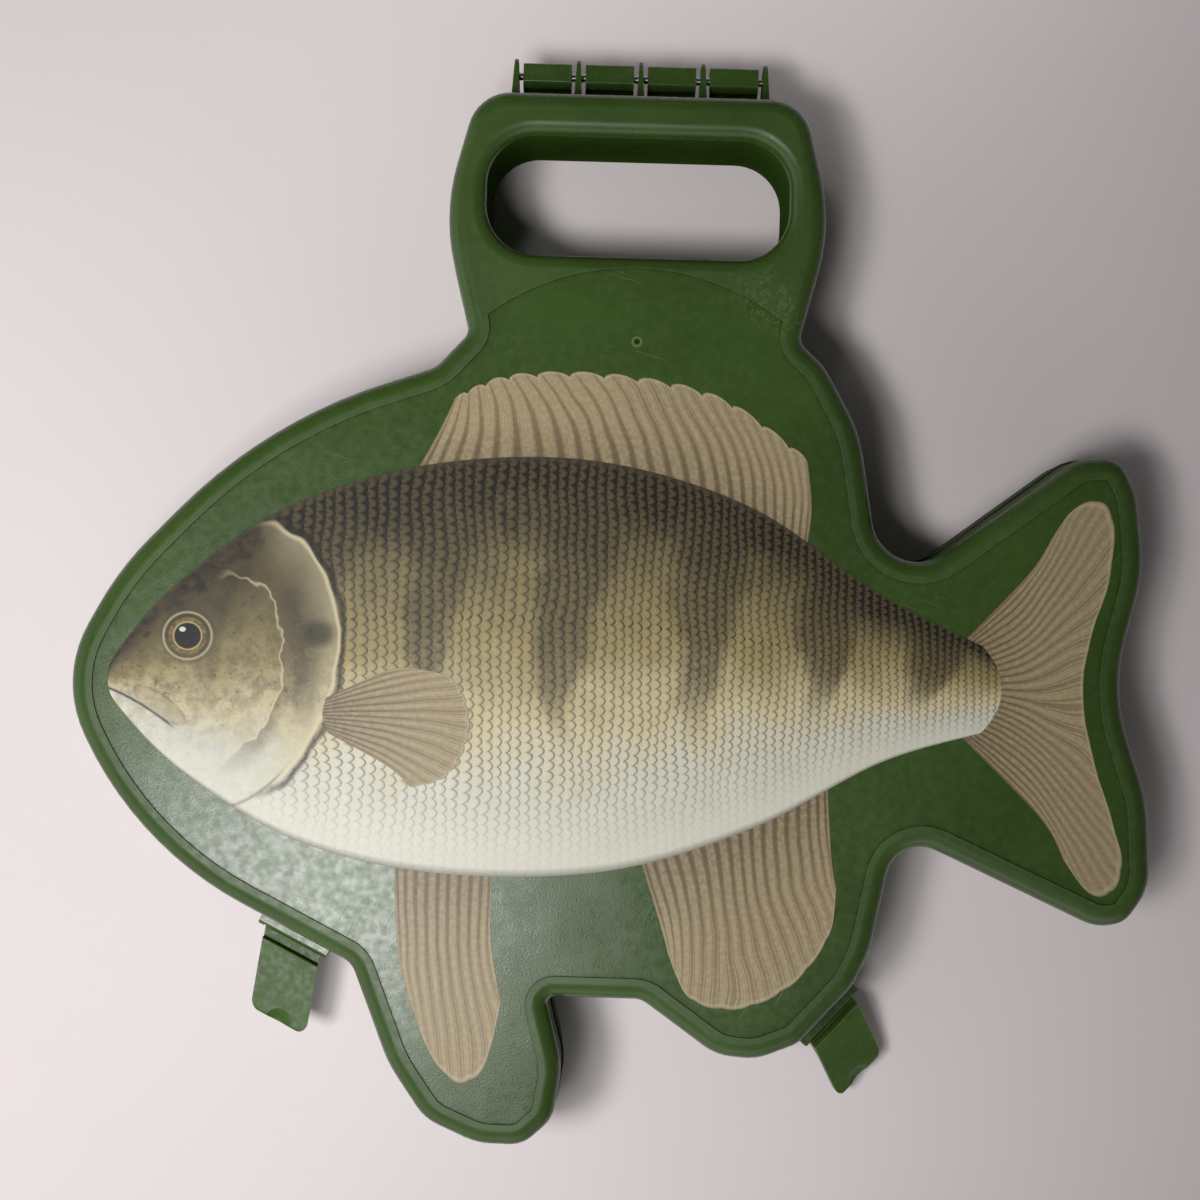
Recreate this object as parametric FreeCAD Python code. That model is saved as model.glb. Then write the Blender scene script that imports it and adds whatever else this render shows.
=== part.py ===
import FreeCAD
import Part
import math
import os
from FreeCAD import Vector

# A fish-shaped clamshell tackle box of two moulded halves, lying on its back.
# Z = 0 is the surface it lies on, +X runs from the nose to the tail, +Y to the carrying handle,
# +Z out of the printed front. All sizes are in millimetres.

# Thickness of the case
half_depth = 30.0
wall = 2.2
back_face_thickness = 2.4
front_face_thickness = 3.2
outer_edge_round = 5.5
inner_edge_chamfer = 2.6
bead_out = 0.7
bead_height = 1.4
tongue_thickness = 0.9
tongue_height = 1.2
tongue_clearance = 0.3
embed = 0.5

# Handle, even about its own middle line
handle_x = 5.5
handle_top_y = 173.4
handle_half_top = 56.1
handle_corner_round = 15.0
handle_half_bulge = 67.3
handle_bulge_y = 131.2
handle_bulge_round = 70.0
handle_half_neck = 56.9
handle_neck_y = 90.1
handle_neck_round = 5.0
grip_end_bar = 9.5
grip_top_bar = 14.7
grip_height = 41.2
grip_corner_round = 17.0
grip_edge_round = 5.0
grip_edge_land = 0.5

# Corners of the case between the two ends of the handle's neck, clockwise seen from the front.
# Each is where two tangent lines of the edge meet, with the radius of the curve that joins them.
rear_latch_upper = (86.9, -131.5, 20.0)
rear_latch_lower = (68.8, -151.8, 12.0)
throat_lower = (-85.9, -128.3, 9.0)
throat_upper = (-160.9, -90.5, 125.0)
back_to_tail = [
    (71.5, 81.5, 20.0),
    (84.2, 59.2, 50.0),
    (93.6, 2.7, 16.0),
]
tail = [
    (159.0, 52.1, 14.0),
    (173.5, 53.3, 9.0),
    (180.2, 41.0, 25.0),
    (183.3, 14.0, 50.0),
    (173.5, -26.9, 60.0),
    (186.8, -65.2, 60.0),
    (188.3, -95.0, 20.0),
    (180.0, -107.2, 9.0),
    (170.0, -108.8, 15.0),
    (100.5, -77.7, 12.0),
]
anal_lobe = [
    (92.6, -119.0, 40.0),
    rear_latch_upper,
    rear_latch_lower,
    (54.5, -157.6, 20.0),
    (40.5, -156.6, 20.0),
    (14.2, -138.0, 8.0),
]
pelvic_lobe = [
    (-18.8, -137.9, 2.5),
    (-12.3, -162.0, 25.0),
    (-15.2, -180.0, 12.0),
    (-25.2, -189.4, 12.0),
    (-41.0, -189.2, 25.0),
    (-59.4, -181.2, 18.0),
    (-72.5, -162.5, 50.0),
    throat_lower,
]
head_and_back = [
    throat_upper,
    (-190.2, -32.9, 42.0),
    (-169.7, 5.8, 110.0),
    (-120.1, 58.0, 175.0),
    (-62.7, 77.8, 12.0),
]

# Recessed panel for the print, and the arch that closes it under the handle
panel_rim = 7.5
panel_depth = 0.8
arch_centre_x = 5.8
arch_radius = 83.7
arch_grip_gap = 4.1
arch_foot_drop = 33.4
gate_x = 6.5
gate_arch_drop = 25.2
gate_radius = 1.8
gate_hole_radius = 0.8
gate_height = 0.4

# Hinge along the top of the handle
hinge_gap = 10.5
ear_count = 5
ear_pitch = 22.0
ear_base_width = 3.0
ear_tip_width = 1.2
ear_reach = 6.0
ear_under_round = 3.3
ear_tip_round = 4.8
ear_tip_rise = 4.2
ear_foot_height = 11.0
ear_foot_gap = 0.6
barrel_length = 17.0
barrel_out = 4.3
barrel_half_height = 3.8
barrel_corner_round = 1.3
barrel_bevel_out = 2.0
barrel_bevel_drop = 2.5
barrel_under_drop = 2.0
barrel_under_round = 3.0
barrel_under_tip_round = 2.5
barrel_arm_height = 10.0
barrel_arm_top_gap = 1.5
barrel_arm_round = 0.8
hinge_pin_radius = 1.3
hinge_pin_clearance = 0.05
hinge_pin_inset = 0.3

# Latches, hinged to the back half and hooking over a ledge of the front half
latch_pivot_out = 4.6
latch_pivot_drop = 4.0
latch_width = 22.0
latch_length = 31.0
latch_lean = 18.5
latch_barrel_radius = 2.4
latch_plate_top = 1.2
latch_plate_thickness = 2.8
latch_plate_round = 0.9
latch_bridge_depth = 5.2
latch_bridge_round = 1.8
latch_hook_wall = 1.5
latch_hook_round = 2.0
latch_hook_run_out = 5.0
latch_run_out_round = 4.0
latch_channel_round = 0.8
latch_hook_lip_round = 0.5
latch_channel_clearance = 0.6
latch_hook_clearance = 0.5
latch_wide_corner = 5.0
latch_narrow_corner = 3.0
ledge_out = 6.5
ledge_thickness = 2.5
ledge_edge_round = 0.8
ledge_web_clearance = 0.9
peg_radius = 1.4
peg_clearance = 0.06
peg_end_gap = 0.3
lug_thickness = 2.2
lug_gap = 0.3
lug_nose = 3.0
lug_top_gap = 0.8
lug_foot = 11.0
scoop_radius = 8.0
scoop_depth = 1.6
nose_latch_along = 23.0
tail_latch_along = 14.3
tail_latch_droop = 30.0

# Walls moulded into the back half and the loose dividers between them
rib_thickness = 1.8
rib_top_gap = 0.8
row_top_y = 48.0
row_pitch = 44.0
row_count = 4
tail_wall_x = 102.0
slot_pitch = 22.0
slot_first = -7
slot_last = 4
slot_rib_width = 1.4
slot_rib_out = 1.6
divider_thickness = 1.6
divider_slot_clearance = 0.2
divider_end_clearance = 0.3
divider_top_gap = 2.2
divider_corner_cut = 2.0
divider_scallop_radius = 9.0
divider_scallop_depth = 4.5
divider_slot_numbers = {
    "top": (-4, -1, 2),
    "upper": (-6, -3, 0, 3),
    "lower": (-6, -4, -1, 2),
    "bottom": (-3, 0, 2),
}

# Printed fish on the panel
print_thickness = 0.25
print_body = [
    (-176.0, -31.0, 5.0),
    (-136.0, 20.0, 90.0),
    (-72.0, 55.0, 150.0),
    (18.0, 50.0, 190.0),
    (84.0, 4.0, 130.0),
    (130.0, -12.0, 3.0),
    (130.0, -44.0, 3.0),
    (88.0, -60.0, 120.0),
    (14.0, -98.0, 190.0),
    (-78.0, -104.0, 160.0),
    (-142.0, -72.0, 110.0),
]
print_tail_fin = [
    (122.0, -14.0, 1.0),
    (150.0, 14.0, 60.0),
    (170.0, 38.0, 3.0),
    (154.0, -30.0, 16.0),
    (176.0, -94.0, 3.0),
    (150.0, -66.0, 60.0),
    (122.0, -42.0, 1.0),
]
print_back_fin = [
    (-72.0, 36.0, 1.0),
    (-46.0, 84.0, 10.0),
    (6.0, 88.0, 60.0),
    (66.0, 56.0, 7.0),
    (64.0, 6.0, 1.0),
]
print_belly_fin = [
    (-74.0, -84.0, 1.0),
    (-66.0, -132.0, 20.0),
    (-46.0, -170.0, 5.0),
    (-32.0, -140.0, 10.0),
    (-36.0, -84.0, 1.0),
]
print_rear_fin = [
    (10.0, -80.0, 1.0),
    (28.0, -140.0, 8.0),
    (72.0, -130.0, 20.0),
    (78.0, -54.0, 1.0),
]

# Sizes that follow from the ones above
depth = 2 * half_depth
hinge_y = handle_top_y + hinge_gap
hinge_half_span = (ear_count - 1) * ear_pitch / 2 + ear_base_width / 2
latch_pivot_z = half_depth - latch_pivot_drop
slot_width = divider_thickness + 2 * divider_slot_clearance
rib_top = half_depth - rib_top_gap
grip_half_length = (handle_half_top + handle_half_bulge) / 2 - grip_end_bar
grip_top_y = handle_top_y - grip_top_bar
grip_bottom_y = grip_top_y - grip_height
arch_top_y = grip_bottom_y - arch_grip_gap
arch_centre_y = arch_top_y - arch_radius
arch_foot_y = arch_top_y - arch_foot_drop
gate_y = arch_top_y - gate_arch_drop
far = 400.0
overcut = 1.0


def unit(x, y):
    length = math.hypot(x, y)
    return x / length, y / length


def corner_arc(before, corner, after):
    """Arc that rounds one corner: its first, middle and last point."""
    x, y, radius = corner
    ax, ay = unit(before[0] - x, before[1] - y)
    bx, by = unit(after[0] - x, after[1] - y)
    half = math.acos(ax * bx + ay * by) / 2
    reach = radius / math.tan(half)
    mx, my = unit(ax + bx, ay + by)
    depth_in = radius / math.sin(half) - radius
    first = Vector(x + ax * reach, y + ay * reach, 0)
    middle = Vector(x + mx * depth_in, y + my * depth_in, 0)
    last = Vector(x + bx * reach, y + by * reach, 0)
    return first, middle, last


def rounded_face(corners):
    """Flat face bounded by tangent lines and arcs, from corners given as x, y and radius."""
    count = len(corners)
    arcs = []
    for i, corner in enumerate(corners):
        if corner[2] > 0:
            arcs.append(corner_arc(corners[i - 1], corner, corners[(i + 1) % count]))
        else:
            point = Vector(corner[0], corner[1], 0)
            arcs.append((point, point, point))
    edges = []
    for i, (first, middle, last) in enumerate(arcs):
        if corners[i][2] > 0:
            edges.append(Part.Arc(first, middle, last).toShape())
        start_of_next = arcs[(i + 1) % count][0]
        if last.distanceToPoint(start_of_next) > 1e-6:
            edges.append(Part.makeLine(last, start_of_next))
    return Part.Face(Part.Wire(edges))


def grown(face, distance):
    """The face grown outward, or shrunk where the distance is negative."""
    return face.makeOffset2D(distance)


def slab(face, bottom, top):
    """The face as a solid between two heights."""
    raised = face.copy()
    raised.translate(Vector(0, 0, bottom))
    return raised.extrude(Vector(0, 0, top - bottom))


def box(x0, x1, y0, y1, z0, z1):
    return Part.makeBox(x1 - x0, y1 - y0, z1 - z0, Vector(x0, y0, z0))


def flat_edges(shape, height):
    """Edges of the shape that lie wholly at one height."""
    found = []
    for edge in shape.Edges:
        bounds = edge.BoundBox
        if abs(bounds.ZMin - height) < 1e-4 and abs(bounds.ZMax - height) < 1e-4:
            found.append(edge)
    return found


def upright(face):
    """Turns a face drawn in x and y so that its x stays along X and its y points up."""
    turned = face.copy()
    turned.rotate(Vector(0, 0, 0), Vector(1, 0, 0), 90)
    return turned


def facing_x(face):
    """Turns a face drawn in x and y so that its x runs along Y and its y points up."""
    turned = face.copy()
    turned.rotate(Vector(0, 0, 0), Vector(1, 1, 1), 120)
    return turned


def case_corners():
    """Corners of the whole case seen from the front; the handle is even about its middle line."""
    right = [
        (handle_x + handle_half_top, handle_top_y, handle_corner_round),
        (handle_x + handle_half_bulge, handle_bulge_y, handle_bulge_round),
        (handle_x + handle_half_neck, handle_neck_y, handle_neck_round),
    ]
    left = [(2 * handle_x - x, y, radius) for x, y, radius in reversed(right)]
    return right + back_to_tail + tail + anal_lobe + pelvic_lobe + head_and_back + left


def grip_corners():
    left, right = handle_x - grip_half_length, handle_x + grip_half_length
    places = ((right, grip_top_y), (right, grip_bottom_y), (left, grip_bottom_y), (left, grip_top_y))
    return [(x, y, grip_corner_round) for x, y in places]


case_face = rounded_face(case_corners())
grip_face = rounded_face(grip_corners())


def half_body(face_thickness):
    """One half of the case, lying on its flat face with the open side up."""
    block = slab(case_face, 0, half_depth)
    block = block.makeFillet(outer_edge_round, flat_edges(block, 0))
    bead = slab(grown(case_face, bead_out), half_depth - bead_height, half_depth)
    block = block.fuse(bead)
    block = block.cut(slab(grip_face, -overcut, half_depth + overcut))
    grip_edges = [e for e in flat_edges(block, 0) if inside_grip_reach(e)]
    bar = case_face.OuterWire.distToShape(grip_face.OuterWire)[0]
    block = block.makeFillet(min(grip_edge_round, bar - outer_edge_round - grip_edge_land), grip_edges)
    hollow = slab(grown(case_face, -wall), face_thickness, half_depth + overcut)
    hollow = hollow.makeChamfer(inner_edge_chamfer, flat_edges(hollow, face_thickness))
    boss = slab(grown(grip_face, wall), 0, half_depth + overcut)
    hollow = hollow.cut(boss)
    return block.cut(hollow).fuse(arch_rib(face_thickness))


def inside_grip_reach(edge):
    """Whether an edge is one of the grip opening's."""
    bounds = edge.BoundBox
    near_x = abs(bounds.Center.x - handle_x) <= grip_half_length + embed
    near_y = grip_bottom_y - embed <= bounds.Center.y <= grip_top_y + embed
    return near_x and near_y


def arch_rib(face_thickness):
    """Curved wall between the fish body and the hollow handle."""
    centre = Vector(arch_centre_x, arch_centre_y, 0)
    outer = Part.makeCylinder(arch_radius, half_depth, centre)
    inner = Part.makeCylinder(arch_radius - rib_thickness, half_depth, centre)
    ring = outer.cut(inner)
    keep = slab(grown(case_face, -wall + embed), face_thickness - embed, rib_top)
    above = box(-far, far, arch_foot_y, far, 0, half_depth)
    return ring.common(keep).common(above)


def turned_over(shape):
    """Mirrors a half about the parting plane."""
    return shape.mirror(Vector(0, 0, half_depth), Vector(0, 0, 1))


def panel_recess():
    """Shallow recess for the print: inside the rim, and below the arch."""
    floor = depth - panel_depth
    inner = slab(grown(case_face, -panel_rim), floor, depth + overcut)
    disc = Part.makeCylinder(arch_radius, depth, Vector(arch_centre_x, arch_centre_y, 0))
    below = box(-far, far, -far, arch_foot_y, 0, depth + overcut)
    return inner.common(disc.fuse(below))


def edge_frame(start, end, along):
    """Foot point and outward direction at a distance along the edge between two corners."""
    tx, ty = unit(end[0] - start[0], end[1] - start[1])
    foot = Vector(start[0] + tx * along, start[1] + ty * along, 0)
    return foot, Vector(-ty, tx, 0)


def seated(shape, frame):
    """Puts a shape drawn with +X outward in its place at the edge of the case."""
    foot, outward = frame
    placed = shape.copy()
    placed.rotate(Vector(0, 0, 0), Vector(0, 0, 1), math.degrees(math.atan2(outward.y, outward.x)))
    placed.translate(foot)
    return placed


def section_prism(corners, y0, y1):
    """Prism from a section drawn as outward and up, between two places along the edge."""
    face = upright(rounded_face(corners))
    face.translate(Vector(0, y0, 0))
    return face.extrude(Vector(0, y1 - y0, 0))


def along_y(radius, y0, y1, x, z):
    return Part.makeCylinder(radius, y1 - y0, Vector(x, y0, z), Vector(0, 1, 0))


def along_x(radius, x0, x1, y, z):
    return Part.makeCylinder(radius, x1 - x0, Vector(x0, y, z), Vector(1, 0, 0))


def latch_ledge():
    """Lip of the front half that a latch hooks over."""
    half = latch_width / 2 + lug_gap + lug_thickness
    top = half_depth + ledge_thickness
    corners = [
        (-wall + embed, half_depth, 0),
        (ledge_out, half_depth, ledge_edge_round),
        (ledge_out, top, ledge_edge_round),
        (latch_pivot_out - latch_plate_top - ledge_web_clearance, top, 0),
        (-wall + embed, top + ledge_thickness, 0),
    ]
    return section_prism(corners, -half, half)


def latch_lugs():
    """Two lugs of the back half that carry the pegs of a latch."""
    out = latch_pivot_out + lug_nose
    top = half_depth - lug_top_gap
    corners = [
        (-wall + embed, top, 0),
        (out, top, lug_nose / 2),
        (out, latch_pivot_z - lug_nose / 2, lug_nose),
        (-wall + embed, latch_pivot_z - lug_foot, 0),
    ]
    inner = latch_width / 2 + lug_gap
    outer = inner + lug_thickness
    lugs = section_prism(corners, inner, outer).fuse(section_prism(corners, -outer, -inner))
    bore = along_y(peg_radius + peg_clearance, -far, far, latch_pivot_out, latch_pivot_z)
    return lugs.cut(bore)


def latch_section():
    """Section of a latch lying open, with its pivot at the origin and its inner face up."""
    channel_near = latch_pivot_drop - latch_channel_clearance
    channel_far = latch_pivot_drop + ledge_thickness + latch_hook_clearance
    channel_floor = latch_pivot_out - ledge_out - latch_channel_clearance
    plate_under = latch_plate_top - latch_plate_thickness
    return [
        (0, -latch_barrel_radius / 2, 0),
        (channel_near / 2, -latch_bridge_depth, latch_bridge_round),
        (channel_far + latch_hook_wall, -latch_bridge_depth, latch_hook_round),
        (channel_far + latch_hook_run_out, plate_under, latch_run_out_round),
        (latch_length, plate_under, latch_plate_round),
        (latch_length, latch_plate_top, latch_plate_round),
        (channel_far, latch_plate_top, latch_hook_lip_round),
        (channel_far, channel_floor, latch_hook_lip_round),
        (channel_near, channel_floor, latch_channel_round),
        (channel_near / 2, latch_barrel_radius / 2, 0),
    ]


def latch(side):
    """A latch lying open and level; side is +1 or -1, the way that its flap leans."""
    half = latch_width / 2
    start = latch_pivot_drop - latch_channel_clearance
    shift = side * (latch_length - start) * math.tan(math.radians(latch_lean))
    leading, trailing = latch_narrow_corner, latch_wide_corner
    if side < 0:
        leading, trailing = latch_wide_corner, latch_narrow_corner
    plan = rounded_face([
        (-latch_barrel_radius, -half, 0),
        (start, -half, 0),
        (latch_length, shift - half, trailing),
        (latch_length, shift + half, leading),
        (start, half, 0),
        (-latch_barrel_radius, half, 0),
    ])
    plate = section_prism(latch_section(), -latch_length, latch_length)
    plate = plate.fuse(along_y(latch_barrel_radius, -latch_length, latch_length, 0, 0)).removeSplitter()
    flap = plate.common(slab(plan, -latch_length, latch_length))
    dish = Part.makeSphere(scoop_radius)
    dish.translate(Vector(latch_length, shift, latch_plate_top + scoop_radius - scoop_depth))
    flap = flap.cut(dish)
    reach = half + lug_gap + lug_thickness - peg_end_gap
    return flap.fuse(along_y(peg_radius, -reach, reach, 0, 0))


def placed_latch(side, droop, frame):
    """A latch on its pivot at the edge of the case, its flap hanging by the droop angle."""
    turned = latch(side)
    turned.rotate(Vector(0, 0, 0), Vector(0, 1, 0), droop)
    turned.translate(Vector(latch_pivot_out, 0, latch_pivot_z))
    return seated(turned, frame)


def pin_bore():
    return along_x(hinge_pin_radius + hinge_pin_clearance, -far, far, hinge_y, half_depth)


def ear_places():
    first = handle_x - (ear_count - 1) * ear_pitch / 2
    return [first + i * ear_pitch for i in range(ear_count)]


def hinge_ears():
    """Tapered ears of the front half, standing on the top edge of the handle."""
    foot = handle_top_y - wall + embed
    low = half_depth + ear_foot_gap
    side = rounded_face([
        (foot, low, 0),
        (hinge_y - ear_reach, low, 0),
        (hinge_y - ear_reach, half_depth - ear_reach, ear_under_round),
        (hinge_y + ear_reach, half_depth - ear_reach, ear_tip_round),
        (hinge_y + ear_reach, half_depth + ear_tip_rise, ear_tip_round),
        (foot, half_depth + ear_foot_height, 0),
    ])
    profile = facing_x(side).extrude(Vector(ear_base_width, 0, 0))
    profile.translate(Vector(-ear_base_width / 2, 0, 0))
    plan = rounded_face([
        (-ear_base_width / 2, foot, 0),
        (ear_base_width / 2, foot, 0),
        (ear_tip_width / 2, hinge_y + ear_reach, 0),
        (-ear_tip_width / 2, hinge_y + ear_reach, 0),
    ])
    ear = profile.common(slab(plan, 0, depth))
    ears = []
    for x in ear_places():
        one = ear.copy()
        one.translate(Vector(x, 0, 0))
        ears.append(one)
    return Part.makeCompound(ears).cut(pin_bore())


def hinge_barrels():
    """Barrels of the back half between the ears, each on its arm from the handle's top edge."""
    foot = handle_top_y - wall + embed
    arm_top = half_depth - barrel_arm_top_gap
    near, away = hinge_y - barrel_out, hinge_y + barrel_out
    bottom, top = half_depth - barrel_half_height, half_depth + barrel_half_height
    side = rounded_face([
        (foot, arm_top - barrel_arm_height, 0),
        (near, bottom - barrel_under_drop, barrel_under_round),
        (away, bottom, barrel_under_tip_round),
        (away, top, barrel_corner_round),
        (near + barrel_bevel_out, top, barrel_corner_round),
        (near, top - barrel_bevel_drop, barrel_corner_round),
        (near, arm_top, barrel_arm_round),
        (foot, arm_top, 0),
    ])
    barrel = facing_x(side).extrude(Vector(barrel_length, 0, 0))
    barrels = []
    places = ear_places()
    for left, right in zip(places, places[1:]):
        one = barrel.copy()
        one.translate(Vector((left + right - barrel_length) / 2, 0, 0))
        barrels.append(one)
    return Part.makeCompound(barrels).cut(pin_bore())


def hinge_pin():
    reach = hinge_half_span - hinge_pin_inset
    return along_x(hinge_pin_radius, handle_x - reach, handle_x + reach, hinge_y, half_depth)


def slot_side(y, out, slots):
    """Points along one face of a long wall, stepping around the guide ribs of each slot."""
    points = []
    for k in slots:
        middle = k * slot_pitch
        for near, away in ((-1, -1), (1, 1)):
            inner = middle + near * slot_width / 2
            outer = inner + away * slot_rib_width
            first, second = (outer, inner) if near < 0 else (inner, outer)
            points += [(first, y), (first, y + out), (second, y + out), (second, y)]
    return points


def long_wall(row):
    """Long moulded wall below a row line, with slot guides on the sides that take dividers."""
    y = row_top_y - row * row_pitch
    slots = range(slot_first, slot_last + 1)
    upper = slot_side(y + rib_thickness / 2, slot_rib_out, slots if row > 0 else [])
    lower = slot_side(y - rib_thickness / 2, -slot_rib_out, slots if row < row_count else [])
    ring = [(-far, y + rib_thickness / 2)] + upper + [(tail_wall_x, y + rib_thickness / 2)]
    ring += [(tail_wall_x, y - rib_thickness / 2)] + lower[::-1] + [(-far, y - rib_thickness / 2)]
    wire = Part.makePolygon([Vector(px, py, 0) for px, py in ring + ring[:1]])
    return slab(Part.Face(wire), back_face_thickness - embed, rib_top)


def tail_wall(face_thickness):
    """Moulded wall that parts the tail compartment from the body, notch to notch."""
    half = rib_thickness / 2
    return box(tail_wall_x - half, tail_wall_x + half, -far, far, face_thickness - embed, rib_top)


def tray_walls():
    """Moulded walls of the back half, trimmed to reach a little way into the side wall."""
    walls = [long_wall(row) for row in range(row_count + 1)]
    walls.append(tail_wall(back_face_thickness))
    joined = walls[0].multiFuse(walls[1:])
    return joined.common(slab(grown(case_face, -wall + embed), 0, half_depth))


def tongue():
    """Lip on the back half that enters the step of the front half."""
    ring = grown(case_face, tongue_thickness - wall).cut(grown(case_face, -wall))
    return slab(ring, half_depth - embed, half_depth + tongue_height)


def tongue_step():
    """Step cut in the front half's rim for the tongue."""
    ring = grown(case_face, tongue_thickness + tongue_clearance - wall).cut(grown(case_face, -wall - embed))
    return slab(ring, half_depth - embed, half_depth + tongue_height + tongue_clearance)


nose_frame = edge_frame(throat_lower, throat_upper, nose_latch_along)
tail_frame = edge_frame(rear_latch_upper, rear_latch_lower, tail_latch_along)


def back_shell():
    """Back half with its tray walls, hinge barrels and latch lugs."""
    shell = half_body(back_face_thickness).fuse(tongue())
    parts = [tray_walls(), hinge_barrels()]
    parts += [seated(latch_lugs(), frame) for frame in (nose_frame, tail_frame)]
    return shell.multiFuse(parts).removeSplitter()


def front_shell():
    """Front half with the recessed panel, the hinge ears and the ledges for the latches."""
    inside = slab(grown(case_face, embed - wall), 0, half_depth)
    shell = half_body(front_face_thickness)
    shell = shell.fuse(tail_wall(front_face_thickness).common(inside))
    shell = turned_over(shell).cut(panel_recess())
    floor = depth - panel_depth
    ring = Part.makeCylinder(gate_radius, gate_height + embed, Vector(gate_x, gate_y, floor - embed))
    hole = Part.makeCylinder(gate_hole_radius, gate_height + embed, Vector(gate_x, gate_y, floor - embed / 2))
    parts = [hinge_ears(), ring]
    parts += [seated(latch_ledge(), frame) for frame in (nose_frame, tail_frame)]
    return shell.multiFuse(parts).cut(hole).cut(tongue_step()).removeSplitter()


def divider(row, slot):
    """Loose plate with a finger scallop, standing on the floor between two long walls."""
    length = row_pitch - rib_thickness - 2 * divider_end_clearance
    top = half_depth - divider_top_gap
    low = back_face_thickness
    plate = rounded_face([
        (-length / 2, low, 0),
        (length / 2, low, 0),
        (length / 2, top - divider_corner_cut, 0),
        (length / 2 - divider_corner_cut, top, 0),
        (divider_corner_cut - length / 2, top, 0),
        (-length / 2, top - divider_corner_cut, 0),
    ])
    scallop_centre = Vector(0, top + divider_scallop_radius - divider_scallop_depth, 0)
    scallop = Part.Face(Part.Wire(Part.makeCircle(divider_scallop_radius, scallop_centre)))
    solid = facing_x(plate.cut(scallop)).extrude(Vector(divider_thickness, 0, 0))
    middle = row_top_y - (row + 0.5) * row_pitch
    solid.translate(Vector(slot * slot_pitch - divider_thickness / 2, middle, 0))
    return solid


def fish_print():
    """Thin film of the printed fish, lying on the panel."""
    floor = depth - panel_depth
    outlines = (print_body, print_tail_fin, print_back_fin, print_belly_fin, print_rear_fin)
    film = [slab(rounded_face(corners), floor, floor + print_thickness) for corners in outlines]
    return film[0].multiFuse(film[1:]).removeSplitter()


def as_solid(shape):
    """The single solid of a shape, or a compound of its solids."""
    solids = shape.Solids
    return solids[0] if len(solids) == 1 else Part.makeCompound(solids)


nodes = {
    "back_shell": back_shell(),
    "front_shell": front_shell(),
    "hinge_pin": hinge_pin(),
    "latch_nose": placed_latch(1, 0, nose_frame),
    "latch_tail": placed_latch(-1, tail_latch_droop, tail_frame),
    "fish_print": fish_print(),
}
for row, (row_name, slots) in enumerate(divider_slot_numbers.items()):
    for number, slot in enumerate(slots, start=1):
        nodes["divider_%s_%d" % (row_name, number)] = divider(row, slot)

os.makedirs("parts", exist_ok=True)
for name, shape in nodes.items():
    as_solid(shape).exportStep("parts/%s.step" % name)
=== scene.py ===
"""Finish of a fish-shaped clamshell tackle box: moulded halves, latches, dividers and the printed fish."""
import math

import bpy
from bpy.props import FloatProperty, FloatVectorProperty, IntProperty, PointerProperty
from bpy.types import Operator, Panel, PropertyGroup
from mathutils import Matrix, Vector


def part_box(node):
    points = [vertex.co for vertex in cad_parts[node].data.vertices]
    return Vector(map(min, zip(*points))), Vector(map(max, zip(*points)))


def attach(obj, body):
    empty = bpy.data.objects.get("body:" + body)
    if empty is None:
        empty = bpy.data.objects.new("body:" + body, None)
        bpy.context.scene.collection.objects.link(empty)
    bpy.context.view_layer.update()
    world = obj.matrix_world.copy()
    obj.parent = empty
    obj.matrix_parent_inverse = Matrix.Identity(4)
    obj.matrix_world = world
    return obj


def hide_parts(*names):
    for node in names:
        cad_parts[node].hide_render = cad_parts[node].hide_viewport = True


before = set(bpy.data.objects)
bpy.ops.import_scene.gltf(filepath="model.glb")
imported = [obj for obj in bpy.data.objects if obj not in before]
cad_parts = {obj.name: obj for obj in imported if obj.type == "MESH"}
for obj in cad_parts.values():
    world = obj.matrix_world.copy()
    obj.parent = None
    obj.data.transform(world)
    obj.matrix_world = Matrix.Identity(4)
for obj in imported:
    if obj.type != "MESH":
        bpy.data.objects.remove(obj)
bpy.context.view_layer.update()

bl_info = {
    "name": "Fish tackle box",
    "version": (1, 0, 0),
    "blender": (4, 5, 0),
    "location": "3D View > Sidebar > Tackle Box",
    "description": "Builds the finish of a fish-shaped tackle box around its fixed frame",
    "category": "Object",
}

MM = 0.001
PANEL_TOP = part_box("fish_print")[0].z
PRINT_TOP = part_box("fish_print")[1].z
RIM_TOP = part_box("front_shell")[1].z
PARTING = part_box("hinge_pin")[0].z + (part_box("hinge_pin")[1].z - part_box("hinge_pin")[0].z) / 2
DIVIDERS = sorted(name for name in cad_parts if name.startswith("divider_"))

# Printed fish, as guide lines in millimetres that run from the nose or the front edge backwards
FISH_BACK = [(-172, -33), (-169, -23), (-148, 2), (-112, 28), (-64, 44), (-8, 47), (46, 33), (92, 4), (128, -13)]
FISH_BELLY = [(-172, -33), (-168, -42), (-145, -64), (-106, -86), (-58, -96), (0, -94), (50, -78), (94, -54), (128, -43)]
TAIL_BASE = [(121, -12), (124, -28), (121, -44)]
TAIL_MIDDLE = [(143, 12), (144, -8), (144, -29), (147, -50), (149, -71)]
TAIL_EDGE = [
    (151, 25), (158, 35), (167, 38), (172, 30), (171, 11), (165, -10), (163, -29), (167, -50), (174, -71),
    (178, -86), (175, -96), (167, -97), (158, -86),
]
BACK_FIN_BASE = [(-70, 38), (-10, 42), (40, 31), (66, 15)]
BACK_FIN_MIDDLE = [(-61, 55), (-14, 60), (36, 52), (68, 32)]
BACK_FIN_EDGE = [(-55, 68), (-36, 76), (0, 77), (36, 70), (66, 50)]
BELLY_FIN_BASE = [(-72, -91), (-55, -92), (-38, -92)]
BELLY_FIN_MIDDLE = [(-70, -122), (-54, -128), (-38, -118)]
BELLY_FIN_EDGE = [(-66, -138), (-58, -158), (-48, -168), (-39, -162), (-34, -140)]
REAR_FIN_BASE = [(12, -88), (46, -76), (76, -60)]
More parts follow.
